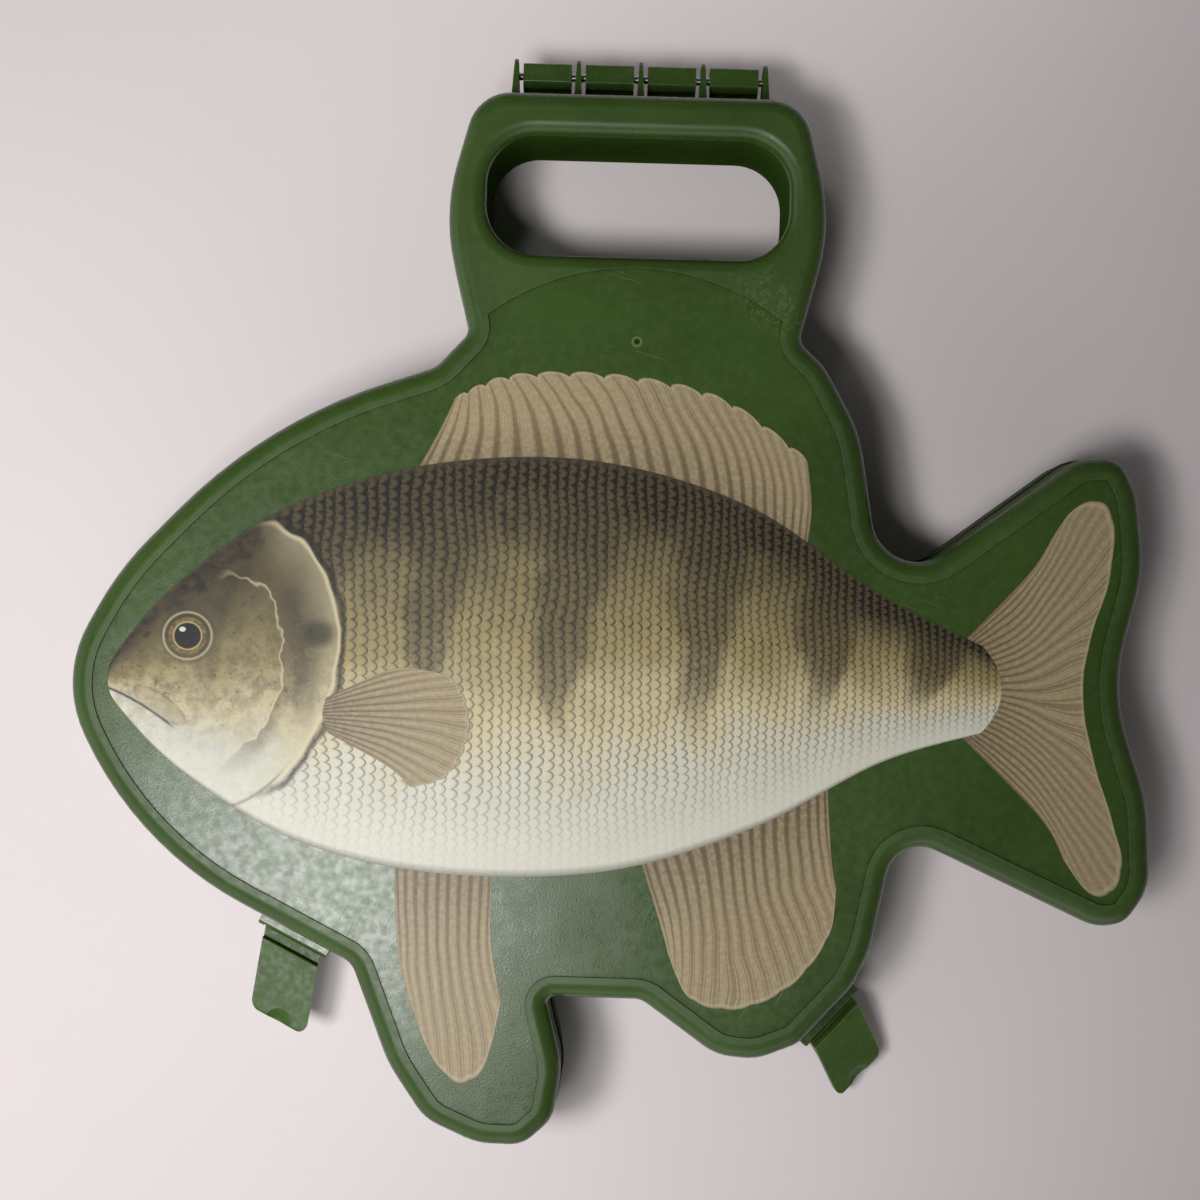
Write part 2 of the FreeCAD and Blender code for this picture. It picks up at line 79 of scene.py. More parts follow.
REAR_FIN_MIDDLE = [(20, -112), (50, -106), (78, -86)]
REAR_FIN_EDGE = [(23, -122), (31, -137), (48, -140), (66, -131), (78, -114), (80, -98)]
SIDE_FIN_BASE = [(-97, -37), (-98, -43), (-96, -49)]
SIDE_FIN_MIDDLE = [(-76, -27), (-70, -43), (-75, -60)]
SIDE_FIN_EDGE = [(-67, -26), (-54, -29), (-48, -39), (-48, -51), (-55, -63), (-67, -67)]


def linear(red, green, blue):
    """Scene colour from the 0 to 255 values that a screen shows."""
    return tuple(
        value / 255 / 12.92 if value <= 10 else ((value / 255 + 0.055) / 1.055) ** 2.4
        for value in (red, green, blue)
    )


def settings():
    return bpy.context.scene.tackle_box


class CaseFinish(PropertyGroup):
    """Sizes and colours of the moulded green plastic."""

    green: FloatVectorProperty(
        name="Green", description="Colour of the moulded case", subtype="COLOR",
        size=3, min=0, max=1, default=linear(53, 76, 29),
    )
    # Paler colour of the outer edges, of a patch right of the arch, of the scratches and of the gate ring.
    pale_green: FloatVectorProperty(
        name="Paler green", description="Colour of the paler edges, patch, scratches and gate ring",
        subtype="COLOR", size=3, min=0, max=1, default=linear(96, 120, 70),
    )
    roughness: FloatProperty(
        name="Roughness", description="Roughness of the smooth mouldings", default=0.36, min=0, max=1,
    )
    panel_roughness: FloatProperty(
        name="Panel roughness", description="Roughness of the grained front panel",
        default=0.24, min=0, max=1,
    )
    grain_size: FloatProperty(
        name="Grain size", description="Size of one speck of the moulded grain",
        default=0.75 * MM, unit="LENGTH", min=0.1 * MM,
    )
    grain_depth: FloatProperty(
        name="Grain depth", description="Height of the moulded grain",
        default=0.022 * MM, unit="LENGTH", min=0,
    )
    edge_round: FloatProperty(
        name="Edge rounding", description="Small rounding on the sharp edges of the mouldings",
        default=0.25 * MM, unit="LENGTH", min=0,
    )


class PrintDesign(PropertyGroup):
    """Colours and counts of the printed fish."""

    back: FloatVectorProperty(
        name="Back", description="Dark colour of the fish's back", subtype="COLOR",
        size=3, min=0, max=1, default=linear(30, 26, 17),
    )
    flank: FloatVectorProperty(
        name="Flank", description="Olive tan of the flank", subtype="COLOR",
        size=3, min=0, max=1, default=linear(140, 127, 86),
    )
    belly: FloatVectorProperty(
        name="Belly", description="Pale colour of the belly", subtype="COLOR",
        size=3, min=0, max=1, default=linear(204, 203, 188),
    )
    fin: FloatVectorProperty(
        name="Fin", description="Tan of the fins between their rays", subtype="COLOR",
        size=3, min=0, max=1, default=linear(160, 144, 110),
    )
    ray: FloatVectorProperty(
        name="Fin rays", description="Brown of the fin rays", subtype="COLOR",
        size=3, min=0, max=1, default=linear(84, 64, 44),
    )
    bar_count: IntProperty(
        name="Bars", description="Number of soft dark bars down the flank", default=7, min=1,
    )
    scale_front: FloatProperty(
        name="Front scales", description="Size of a scale at the nose", default=4.3 * MM, unit="LENGTH",
    )
    scale_rear: FloatProperty(
        name="Rear scales", description="Size of a scale at the tail", default=2.6 * MM, unit="LENGTH",
    )
    roughness: FloatProperty(
        name="Roughness", description="Roughness of the printed film", default=0.32, min=0, max=1,
    )


class StageSettings(PropertyGroup):
    """Floor, lamps and camera."""

    camera_height: FloatProperty(
        name="Camera height", description="Height of the camera over the floor",
        default=0.955, unit="LENGTH",
    )
    view_angle: FloatProperty(
        name="View angle", description="Angle that the square picture takes in",
        default=2 * math.atan(0.207 / 0.9), unit="ROTATION",
    )
    camera_turn: FloatProperty(
        name="Camera turn", description="Turn of the picture about the line of sight",
        default=math.radians(1.6), unit="ROTATION",
    )
    floor: FloatVectorProperty(
        name="Floor", description="Colour of the pale table", subtype="COLOR",
        size=3, min=0, max=1, default=linear(226, 216, 217),
    )
    key_power: FloatProperty(
        name="Key lamp", description="Power of the lamp at the left", default=37.0, unit="POWER",
    )
    sheen_power: FloatProperty(
        name="Sheen lamp", description="Power of the lamp that the throat reflects", default=3.6, unit="POWER",
    )
    sky: FloatProperty(name="Sky", description="Strength of the light from the window side", default=1.1, min=0)


class TackleBoxSettings(PropertyGroup):
    """All settings of the add-on."""

    case: PointerProperty(type=CaseFinish)
    fish: PointerProperty(type=PrintDesign)
    stage: PointerProperty(type=StageSettings)


# Node helpers

def add_node(tree, kind, inputs=(), **options):
    """Adds a shader node; inputs are pairs of socket and value or output to join to it."""
    made = tree.nodes.new("ShaderNode" + kind)
    for option, value in options.items():
        setattr(made, option, value)
    for socket, value in inputs:
        if isinstance(value, bpy.types.NodeSocket):
            tree.links.new(value, made.inputs[socket])
        else:
            made.inputs[socket].default_value = value
    return made


def maths(tree, operation, first, second=0.0, clamp=False):
    made = add_node(tree, "Math", ((0, first), (1, second)), operation=operation, use_clamp=clamp)
    return made.outputs[0]


def remap(tree, value, low, high, to_low=0.0, to_high=1.0, smooth=False):
    """Moves a value from one range to another and holds it at the ends."""
    made = add_node(tree, "MapRange", (
        ("Value", value), ("From Min", low), ("From Max", high), ("To Min", to_low), ("To Max", to_high),
    ), interpolation_type="SMOOTHSTEP" if smooth else "LINEAR")
    return made.outputs["Result"]


def blend_colours(tree, factor, first, second, blend_type="MIX"):
    made = tree.nodes.new("ShaderNodeMix")
    made.data_type = "RGBA"
    made.blend_type = blend_type
    for socket, value in ((0, factor), (6, first), (7, second)):
        if isinstance(value, bpy.types.NodeSocket):
            tree.links.new(value, made.inputs[socket])
        elif socket == 0:
            made.inputs[socket].default_value = value
        else:
            made.inputs[socket].default_value = tuple(value)[:3] + (1.0,)
    return made.outputs[2]


def noise(tree, place, size, detail=3.0, roughness=0.55, distortion=0.0):
    """Noise whose blobs are about one size, in metres where the place is in metres."""
    made = add_node(tree, "TexNoise", (
        ("Vector", place), ("Scale", 1 / size), ("Detail", detail),
        ("Roughness", roughness), ("Distortion", distortion),
    ))
    return made.outputs["Fac"]


def stretched(tree, place, lengths, turn=0.0):
    """The place in axes turned about Z, each drawn out to its own length."""
    made = add_node(tree, "Mapping", (
        ("Vector", place), ("Rotation", (0, 0, turn)), ("Scale", lengths),
    ), vector_type="TEXTURE")
    return made.outputs[0]


def bump(tree, height, distance, strength=1.0, normal=None):
    inputs = [("Height", height), ("Distance", distance), ("Strength", strength)]
    if normal is not None:
        inputs.append(("Normal", normal))
    return add_node(tree, "Bump", inputs).outputs[0]


def new_material(name):
    material = bpy.data.materials.new(name)
    material.use_nodes = True
    tree = material.node_tree
    return material, tree, tree.nodes["Principled BSDF"]


def object_place(tree):
    return add_node(tree, "TexCoord").outputs["Object"]


def split(tree, vector):
    made = add_node(tree, "SeparateXYZ", ((0, vector),))
    return made.outputs[0], made.outputs[1], made.outputs[2]


def stroke(tree, value, at, half_width):
    """1 where a value passes a level, falling to 0 half a width away on both sides."""
    away = maths(tree, "ABSOLUTE", maths(tree, "SUBTRACT", value, at))
    return remap(tree, away, 0.0, half_width, 1.0, 0.0, smooth=True)


def edge_mask(tree, radius):
    """1 on outer edges of a moulding, from how a rounded normal leaves the true one."""
    rounded = add_node(tree, "Bevel", (("Radius", radius),), samples=4).outputs[0]
    true_normal = add_node(tree, "NewGeometry").outputs["Normal"]
    close = add_node(tree, "VectorMath", ((0, rounded), (1, true_normal)), operation="DOT_PRODUCT")
    return remap(tree, close.outputs["Value"], 0.995, 0.86, smooth=True)


def crevice_shade_mask(tree, reach):
    """1 in inner corners and narrow gaps, where painted shade darkens the colour, 0 on open faces."""
    open_share = add_node(tree, "AmbientOcclusion", (("Distance", reach),), samples=6).outputs["AO"]
    return remap(tree, open_share, 0.82, 0.42, smooth=True)


def wall_mask(tree):
    """1 on upright walls, 0 on faces that look up or down."""
    upward = maths(tree, "ABSOLUTE", split(tree, add_node(tree, "NewGeometry").outputs["True Normal"])[2])
    return remap(tree, upward, 0.25, 0.05)


def on_front(tree, height):
    """1 on the outside of the front face, 0 further in."""
    return remap(tree, height, PANEL_TOP - 1.5 * MM, PANEL_TOP - 0.5 * MM)


# Materials

def case_plastic():
    """Half-glossy moulded plastic with a grained panel, paler outer edges, a paler patch, fine scratches and
    painted shade in its corners and gaps.
    """
    case = settings().case
    material, tree, shader = new_material("green_moulded_plastic")
    place = object_place(tree)
    height = split(tree, place)[2]
    on_panel = remap(tree, height, PANEL_TOP + 0.3 * MM, PANEL_TOP + 0.1 * MM)

    cloud = noise(tree, place, 60 * MM, detail=3)
    mottle = noise(tree, place, 3.0 * MM, detail=1)
    tone = maths(tree, "ADD", maths(tree, "MULTIPLY", cloud, 0.8), maths(tree, "MULTIPLY", mottle, 0.2))
    dark = tuple(value * 0.84 for value in case.green)
    light = tuple(value * 1.16 for value in case.green)
    colour = blend_colours(tree, remap(tree, tone, 0.36, 0.64), dark, light)

    scratch_a = noise(tree, stretched(tree, place, (90, 1, 1), math.radians(62)), 0.3 * MM, detail=0)
    scratch_b = noise(tree, stretched(tree, place, (90, 1, 1), math.radians(-16)), 0.3 * MM, detail=0)
    scratch = maths(tree, "MAXIMUM", remap(tree, scratch_a, 0.74, 0.80), remap(tree, scratch_b, 0.74, 0.80))
    patches = remap(tree, noise(tree, place, 34 * MM, detail=3), 0.52, 0.70, smooth=True)
    scratch = maths(tree, "MULTIPLY", scratch, patches)
    # A paler patch right of the arch, broken by fine noise.
    pale_patch = ellipse_distance(tree, place, (52 * MM, 103 * MM), (20 * MM, 12 * MM), math.radians(-35))
    pale_patch = maths(tree, "MULTIPLY", remap(tree, pale_patch, 1.2, 0.3, smooth=True), on_front(tree, height))
    pale_patch = maths(tree, "MULTIPLY", pale_patch, remap(tree, noise(tree, place, 1.1 * MM, detail=5), 0.50, 0.66))
    # Paler outer edges, broken by the mottle; with the scratches, the patch and the gate ring they make the paler
    # marks, which are also rougher.
    paler_edges = maths(tree, "MULTIPLY", edge_mask(tree, 1.0 * MM), remap(tree, mottle, 0.35, 0.65, 0.25, 0.8))
    pale_marks = maths(tree, "MAXIMUM", maths(tree, "MULTIPLY", scratch, 0.35), maths(tree, "MULTIPLY", paler_edges, 0.45))
    pale_marks = maths(tree, "MAXIMUM", pale_marks, maths(tree, "MULTIPLY", pale_patch, 0.45))
    gate = ellipse_distance(tree, place, (6.4 * MM, 88.2 * MM), (1 * MM, 1 * MM))
    gate_ring = maths(tree, "MULTIPLY", stroke(tree, gate, 1.6, 0.55), on_front(tree, height))
    pale_marks = maths(tree, "MAXIMUM", pale_marks, gate_ring)
    colour = blend_colours(tree, pale_marks, colour, tuple(case.pale_green))
    # Painted shade: the colour is darkened towards near black in inner corners and narrow gaps, such as the step
    # round the panel.
    crevice_shade = crevice_shade_mask(tree, 2.5 * MM)
    colour = blend_colours(tree, maths(tree, "MULTIPLY", crevice_shade, 0.85), colour, linear(9, 14, 6))
    tree.links.new(colour, shader.inputs["Base Color"])

    wall = wall_mask(tree)
    open_face = maths(tree, "SUBTRACT", 1.0, maths(tree, "MAXIMUM", wall, crevice_shade))
    sheen = remap(tree, open_face, 0.0, 1.0, 0.07, 0.5)
    grip = ellipse_distance(tree, place, (5.5 * MM, 138 * MM), (62 * MM, 33 * MM))
    in_grip = maths(tree, "MULTIPLY", wall, remap(tree, grip, 1.04, 1.0))
    sheen = maths(tree, "MULTIPLY", sheen, maths(tree, "SUBTRACT", 1.0, in_grip))
    tree.links.new(sheen, shader.inputs["Specular IOR Level"])
    base_rough = remap(tree, on_panel, 0.0, 1.0, case.roughness, case.panel_roughness)
    base_rough = maths(tree, "ADD", base_rough, maths(tree, "MULTIPLY", wall, 0.3))
    rough = maths(tree, "ADD", base_rough, remap(tree, mottle, 0.3, 0.7, -0.03, 0.05))
    rough = maths(tree, "ADD", rough, maths(tree, "MULTIPLY", pale_marks, 0.18), clamp=True)
    tree.links.new(rough, shader.inputs["Roughness"])

    grain = noise(tree, place, case.grain_size, detail=2, roughness=0.5)
    panel_grain = maths(tree, "MULTIPLY", grain, remap(tree, on_panel, 0.0, 1.0, 0.35, 1.0))
    waves = noise(tree, place, 18 * MM, detail=1)
    shape = bump(tree, panel_grain, case.grain_depth)
    shape = bump(tree, waves, 0.25 * MM, 0.5, shape)
    shape = bump(tree, maths(tree, "MULTIPLY", scratch, -1.0), 0.02 * MM, 0.6, shape)
    tree.links.new(shape, shader.inputs["Normal"])
    shader.inputs["IOR"].default_value = 1.49
    return material


def latch_plastic():
    """The same plastic on the latches, smoother, with its colour painted lighter to stand for the light of the
    nearby lamp.
    """
    case = settings().case
    material, tree, shader = new_material("green_latch_plastic")
    place = object_place(tree)
    mottle = noise(tree, place, 2.0 * MM, detail=1)
    cloud = noise(tree, place, 14 * MM, detail=2)
    tone = maths(tree, "ADD", maths(tree, "MULTIPLY", mottle, 0.5), maths(tree, "MULTIPLY", cloud, 0.5))
    # Painted light: both tones are lighter than the case's green, standing in for the light of the nearby lamp.
    dark = tuple(value * 1.05 for value in case.green)
    light = tuple(value * 1.45 for value in case.green)
    colour = blend_colours(tree, remap(tree, tone, 0.35, 0.65), dark, light)
    # Paler outer edges, broken by the mottle.
    paler_edges = maths(tree, "MULTIPLY", edge_mask(tree, 0.7 * MM), remap(tree, mottle, 0.35, 0.65, 0.3, 0.9))
    colour = blend_colours(tree, maths(tree, "MULTIPLY", paler_edges, 0.6), colour, tuple(case.pale_green))
    # Painted shade: the colour is darkened in the latch's inner corners and channel.
    crevice_shade = crevice_shade_mask(tree, 3.0 * MM)
    colour = blend_colours(tree, maths(tree, "MULTIPLY", crevice_shade, 0.8), colour, linear(9, 14, 6))
    tree.links.new(colour, shader.inputs["Base Color"])
    rough = remap(tree, mottle, 0.3, 0.7, case.roughness - 0.06, case.roughness + 0.06)
    tree.links.new(rough, shader.inputs["Roughness"])
    grain = noise(tree, place, 0.5 * MM, detail=2)
    tree.links.new(bump(tree, grain, 0.008 * MM), shader.inputs["Normal"])
    shader.inputs["IOR"].default_value = 1.49
    shader.inputs["Specular IOR Level"].default_value = 0.3
    return material


def divider_plastic():
    """Milky natural plastic of the loose dividers."""
    material, tree, shader = new_material("milky_divider_plastic")
    place = object_place(tree)
    cloud = noise(tree, place, 12 * MM, detail=4)
    colour = blend_colours(tree, remap(tree, cloud, 0.35, 0.65), linear(206, 206, 194), linear(224, 224, 214))
    tree.links.new(colour, shader.inputs["Base Color"])
    fine = noise(tree, place, 1.2 * MM, detail=5)
    tree.links.new(remap(tree, fine, 0.3, 0.7, 0.3, 0.42), shader.inputs["Roughness"])
    tree.links.new(bump(tree, fine, 0.01 * MM), shader.inputs["Normal"])
    shader.inputs["Subsurface Weight"].default_value = 0.35
    shader.inputs["Subsurface Radius"].default_value = (2 * MM, 2 * MM, 1.8 * MM)
    shader.inputs["IOR"].default_value = 1.49
    return material


def pin_steel():
    """Drawn wire, with fine lines along it and dull spots."""
    material, tree, shader = new_material("drawn_steel_wire")
    place = object_place(tree)
    lines = noise(tree, stretched(tree, place, (50, 1, 1)), 0.15 * MM, detail=3)
    spots = noise(tree, place, 3 * MM, detail=5)
    colour = blend_colours(tree, remap(tree, spots, 0.45, 0.7), linear(196, 196, 193), linear(150, 146, 138))
    tree.links.new(colour, shader.inputs["Base Color"])
    shader.inputs["Metallic"].default_value = 1.0
    tree.links.new(remap(tree, lines, 0.3, 0.7, 0.22, 0.42), shader.inputs["Roughness"])
    tree.links.new(bump(tree, lines, 0.01 * MM), shader.inputs["Normal"])
    return material


def scale_pattern(tree, place):
    """Overlapping scales that shrink towards the tail: the light on each and its dark edge."""
    fish = settings().fish
    x, y, _ = split(tree, place)
    front, rear = FISH_BACK[0][0] * MM, FISH_BACK[-1][0] * MM
    slope = (fish.scale_rear - fish.scale_front) / (rear - front)
    size = maths(tree, "ADD", maths(tree, "MULTIPLY", maths(tree, "SUBTRACT", x, front), slope), fish.scale_front)
    columns = maths(tree, "MULTIPLY", maths(tree, "LOGARITHM", size, math.e), 1 / slope)
    stray = maths(tree, "SUBTRACT", noise(tree, place, 22 * MM, detail=1), 0.5)
    columns = maths(tree, "ADD", columns, maths(tree, "MULTIPLY", stray, 1.6))
    middle = maths(tree, "ADD", x, 10 * MM)
    spread = maths(tree, "ADD", maths(tree, "MULTIPLY", maths(tree, "MULTIPLY", middle, middle), 14.0), 1.0)
    rows = maths(tree, "DIVIDE", maths(tree, "MULTIPLY", maths(tree, "ADD", y, 26 * MM), spread), size)
    rows = maths(tree, "ADD", rows, stray)
    reaches = []
    for back in (0.0, 1.0):
        column = maths(tree, "SUBTRACT", maths(tree, "FLOOR", columns), back)
        rearward = maths(tree, "SUBTRACT", columns, column)
        stagger = maths(tree, "MULTIPLY", maths(tree, "FLOORED_MODULO", column, 2.0), 0.5)
        sideways = maths(tree, "SUBTRACT", maths(tree, "FRACT", maths(tree, "ADD", rows, stagger)), 0.5)
        sideways = maths(tree, "MULTIPLY", sideways, 2.0)
        squared = maths(tree, "ADD", maths(tree, "MULTIPLY", rearward, rearward), maths(
            tree, "MULTIPLY", sideways, sideways))
        reaches.append(maths(tree, "DIVIDE", maths(tree, "SQRT", squared), 1.5))
    over = maths(tree, "LESS_THAN", reaches[1], 1.0)
    reach = add_node(tree, "Mix", ((0, over), (2, reaches[0]), (3, reaches[1]))).outputs[0]
    return stroke(tree, reach, 0.58, 0.34), stroke(tree, reach, 0.96, 0.17)


def ellipse_distance(tree, place, centre, radii, turn=0.0):
    """0 at the centre of an ellipse, 1 on its edge; sizes in metres."""
    moved = add_node(tree, "Mapping", (
        ("Vector", place), ("Location", (centre[0], centre[1], 0)), ("Rotation", (0, 0, turn)),
        ("Scale", (radii[0], radii[1], 1.0)),
    ), vector_type="TEXTURE").outputs[0]
    x, y, _ = split(tree, moved)
    return maths(tree, "SQRT", maths(tree, "ADD", maths(tree, "MULTIPLY", x, x), maths(tree, "MULTIPLY", y, y)))


def fish_skin():
    """Printed body of the fish: shaded from back to belly, with bars, scales and a head."""
    fish = settings().fish
    material, tree, shader = new_material("printed_fish_body")
    place = object_place(tree)
    uv = add_node(tree, "UVMap", uv_map="print").outputs[0]
    along, across, _ = split(tree, uv)
    cloud = noise(tree, place, 16 * MM, detail=5, roughness=0.6)
    fine = noise(tree, place, 1.4 * MM, detail=4)
    level = maths(tree, "ADD", across, remap(tree, cloud, 0.3, 0.7, -0.06, 0.06))

    ramp = add_node(tree, "ValToRGB", ((0, level),))
    stops = (
        (0.05, tuple(fish.belly)), (0.20, tuple(value * 0.9 for value in fish.belly)),
        (0.36, linear(190, 178, 142)), (0.56, tuple(fish.flank)),
        (0.74, linear(104, 94, 64)), (0.92, tuple(fish.back)),
    )
    band = ramp.color_ramp
    while len(band.elements) < len(stops):
        band.elements.new(0.5)
    for element, (position, colour) in zip(band.elements, stops):
        element.position = position
        element.color = colour + (1.0,)
    colour = ramp.outputs[0]

    wander = remap(tree, noise(tree, place, 30 * MM, detail=2), 0.3, 0.7, -0.10, 0.10)
    beat = maths(tree, "ADD", maths(tree, "MULTIPLY", along, fish.bar_count * 1.35), wander)
    beat = maths(tree, "ADD", beat, maths(tree, "MULTIPLY", across, -0.35))
    saw = maths(tree, "ABSOLUTE", maths(tree, "SUBTRACT", maths(tree, "FRACT", beat), 0.5))
    width = remap(tree, across, 0.3, 0.9, 0.10, 0.34)
    bars = remap(tree, maths(tree, "DIVIDE", saw, width), 0.45, 1.25, 1.0, 0.0, smooth=True)
    bars = maths(tree, "MULTIPLY", bars, remap(tree, across, 0.26, 0.50, 0.0, 0.72, smooth=True))
    bars = maths(tree, "MULTIPLY", bars, remap(tree, along, 0.26, 0.32))
    bars = maths(tree, "MULTIPLY", bars, remap(tree, fine, 0.3, 0.6, 0.72, 1.0))
    colour = blend_colours(tree, bars, colour, tuple(value * 1.35 for value in fish.back))

    lightness, edge = scale_pattern(tree, place)
    gill = ellipse_distance(tree, place, (-124 * MM, -24 * MM), (31 * MM, 47 * MM), math.radians(-8))
    gill = maths(tree, "ADD", gill, remap(tree, noise(tree, place, 15 * MM, detail=1), 0.3, 0.7, -0.035, 0.035))
    head = maths(tree, "MAXIMUM", remap(tree, gill, 1.01, 0.99), remap(tree, split(tree, place)[0], -118 * MM, -124 * MM))
    body = maths(tree, "SUBTRACT", 1.0, head)
    fade = maths(tree, "MULTIPLY", body, remap(tree, across, 0.05, 0.26, 0.12, 1.0))
    shaded = blend_colours(tree, 1.0, colour, linear(128, 116, 92), "MULTIPLY")
    lit = blend_colours(tree, 1.0, colour, linear(104, 92, 66), "ADD")
    scale_light = maths(tree, "MULTIPLY", maths(tree, "MULTIPLY", lightness, fade), 0.45)
    scale_dark = maths(tree, "MULTIPLY", maths(tree, "MULTIPLY", edge, fade), 0.75)
    colour = blend_colours(tree, scale_light, colour, lit)
    colour = blend_colours(tree, scale_dark, colour, shaded)

    side_line = stroke(tree, maths(tree, "ADD", across, remap(tree, along, 0.3, 0.9, 0.0, 0.1)), 0.66, 0.010)
    side_line = maths(tree, "MULTIPLY", maths(tree, "MULTIPLY", side_line, edge), body)
    colour = blend_colours(tree, maths(tree, "MULTIPLY", side_line, 0.8), colour, tuple(fish.back))

    colour = printed_head(tree, place, colour, head, gill, fine)

    rim = maths(tree, "MINIMUM", across, maths(tree, "SUBTRACT", 1.0, across))
    outline = remap(tree, rim, 0.0, 0.02, 0.7, 0.0)
    colour = blend_colours(tree, outline, colour, linear(70, 62, 46))
    tree.links.new(colour, shader.inputs["Base Color"])
    film_surface(tree, shader, place)
    return material


def printed_head(tree, place, colour, head, gill, fine):
    """Head of the printed fish over the body's shading: gill cover, cheek, mouth and eye."""
    fish = settings().fish
    x, y, _ = split(tree, place)
    dark, pale = linear(52, 42, 28), linear(206, 194, 158)

    def paint(mask, strength, shade):
        return blend_colours(tree, maths(tree, "MULTIPLY", mask, strength), colour, shade)

    speckle = noise(tree, place, 4.5 * MM, detail=6, roughness=0.7)
    above = remap(tree, y, -60 * MM, -30 * MM, 0.15, 1.0, smooth=True)
    colour = paint(maths(tree, "MULTIPLY", maths(tree, "MULTIPLY", head, above), remap(
        tree, speckle, 0.42, 0.60)), 0.55, linear(84, 72, 46))
    freckles = remap(tree, noise(tree, place, 1.3 * MM, detail=2), 0.62, 0.70)
    colour = paint(maths(tree, "MULTIPLY", maths(tree, "MULTIPLY", head, above), freckles), 0.5, dark)

    rearward = remap(tree, x, -126 * MM, -108 * MM, smooth=True)
    cover = maths(tree, "MULTIPLY", remap(tree, gill, 0.62, 0.97), remap(tree, gill, 1.0, 0.98))
    colour = paint(maths(tree, "MULTIPLY", cover, rearward), 0.4, pale)
    spot = ellipse_distance(tree, place, (-100 * MM, -15 * MM), (6.5 * MM, 5 * MM))
    colour = paint(remap(tree, spot, 1.3, 0.4, smooth=True), 0.75, tuple(fish.back))
    colour = paint(maths(tree, "MULTIPLY", stroke(tree, gill, 0.975, 0.035), rearward), 0.7, pale)
    colour = paint(maths(tree, "MULTIPLY", stroke(tree, gill, 1.035, 0.06), rearward), 0.85, tuple(fish.back))

    fold = ellipse_distance(tree, place, (-133 * MM, -27 * MM), (21 * MM, 34 * MM), math.radians(-8))
    fold = maths(tree, "ADD", fold, remap(tree, noise(tree, place, 10 * MM, detail=2), 0.3, 0.7, -0.07, 0.07))
    behind_fold = maths(tree, "MULTIPLY", remap(tree, fold, 0.98, 1.0), remap(tree, fold, 1.28, 1.02, smooth=True))
    behind_fold = maths(tree, "MULTIPLY", behind_fold, remap(tree, x, -134 * MM, -120 * MM))
    colour = paint(behind_fold, 0.5, linear(74, 62, 40))
    colour = paint(maths(tree, "MULTIPLY", stroke(tree, fold, 0.97, 0.03), remap(
        tree, x, -136 * MM, -124 * MM)), 0.5, pale)

    throat = ellipse_distance(tree, place, (-131 * MM, -31 * MM), (33 * MM, 47 * MM), math.radians(-14))
    low = maths(tree, "MULTIPLY", remap(tree, y, -58 * MM, -66 * MM), remap(tree, x, -106 * MM, -112 * MM))
    colour = paint(maths(tree, "MULTIPLY", stroke(tree, throat, 0.98, 0.025), low), 0.6, linear(112, 98, 72))

    forward = maths(tree, "ADD", x, 172 * MM)
    drop = maths(tree, "MULTIPLY", maths(tree, "MULTIPLY", forward, forward), 9.0)
    lips = maths(tree, "ADD", maths(tree, "ADD", y, maths(tree, "MULTIPLY", forward, 0.36)), drop)
    in_front = remap(tree, x, -148 * MM, -151 * MM)
    colour = paint(maths(tree, "MULTIPLY", stroke(tree, lips, -39.0 * MM, 2.6 * MM), in_front), 0.35, pale)
    colour = paint(maths(tree, "MULTIPLY", stroke(tree, lips, -35.5 * MM, 0.9 * MM), in_front), 0.95, dark)
    jaw = ellipse_distance(tree, place, (-154 * MM, -41 * MM), (10 * MM, 3.4 * MM), math.radians(-34))
    colour = paint(remap(tree, jaw, 1.15, 0.75, smooth=True), 0.45, linear(148, 134, 98))
    under_jaw = maths(tree, "MULTIPLY", stroke(tree, jaw, 1.02, 0.2), remap(tree, speckle, 0.3, 0.6, 0.3, 1.0))
    colour = paint(under_jaw, 0.45, dark)
    nostril = ellipse_distance(tree, place, (-159 * MM, -17 * MM), (1.7 * MM, 1.0 * MM), math.radians(35))
    colour = paint(remap(tree, nostril, 1.2, 0.7), 0.85, dark)

    eye = ellipse_distance(tree, place, (-145 * MM, -17 * MM), (7.4 * MM, 7.2 * MM))
    colour = paint(remap(tree, eye, 1.45, 1.0, smooth=True), 0.7, dark)
    colour = paint(stroke(tree, eye, 1.12, 0.1), 0.5, pale)
    gold = blend_colours(tree, remap(tree, fine, 0.35, 0.65), linear(128, 108, 66), linear(78, 62, 38))
    colour = blend_colours(tree, remap(tree, eye, 0.92, 0.86), colour, gold)
    colour = paint(stroke(tree, eye, 0.66, 0.06), 0.8, linear(178, 162, 112))
    colour = blend_colours(tree, remap(tree, eye, 0.63, 0.58), colour, linear(12, 11, 9))
    glint = ellipse_distance(tree, place, (-146.8 * MM, -14.8 * MM), (1.3 * MM, 1.0 * MM))
    return blend_colours(tree, remap(tree, glint, 1.0, 0.7), colour, linear(200, 200, 196))


def film_surface(tree, shader, place):
    """Half-gloss of the printed film over the panel's grain."""
    fine = noise(tree, place, 0.8 * MM, detail=3)
    low = settings().fish.roughness - 0.04
    tree.links.new(remap(tree, fine, 0.3, 0.7, low, low + 0.1), shader.inputs["Roughness"])
    tree.links.new(bump(tree, fine, 0.01 * MM), shader.inputs["Normal"])
    shader.inputs["IOR"].default_value = 1.47
    shader.inputs["Specular IOR Level"].default_value = 0.34


def ray_lines(tree, beat, half_width):
    """Dark lines at every whole step of the beat, with soft sides."""
    away = maths(tree, "ABSOLUTE", maths(tree, "SUBTRACT", maths(tree, "FRACT", beat), 0.5))
    return remap(tree, maths(tree, "DIVIDE", away, half_width), 0.35, 1.4, 1.0, 0.0, smooth=True)


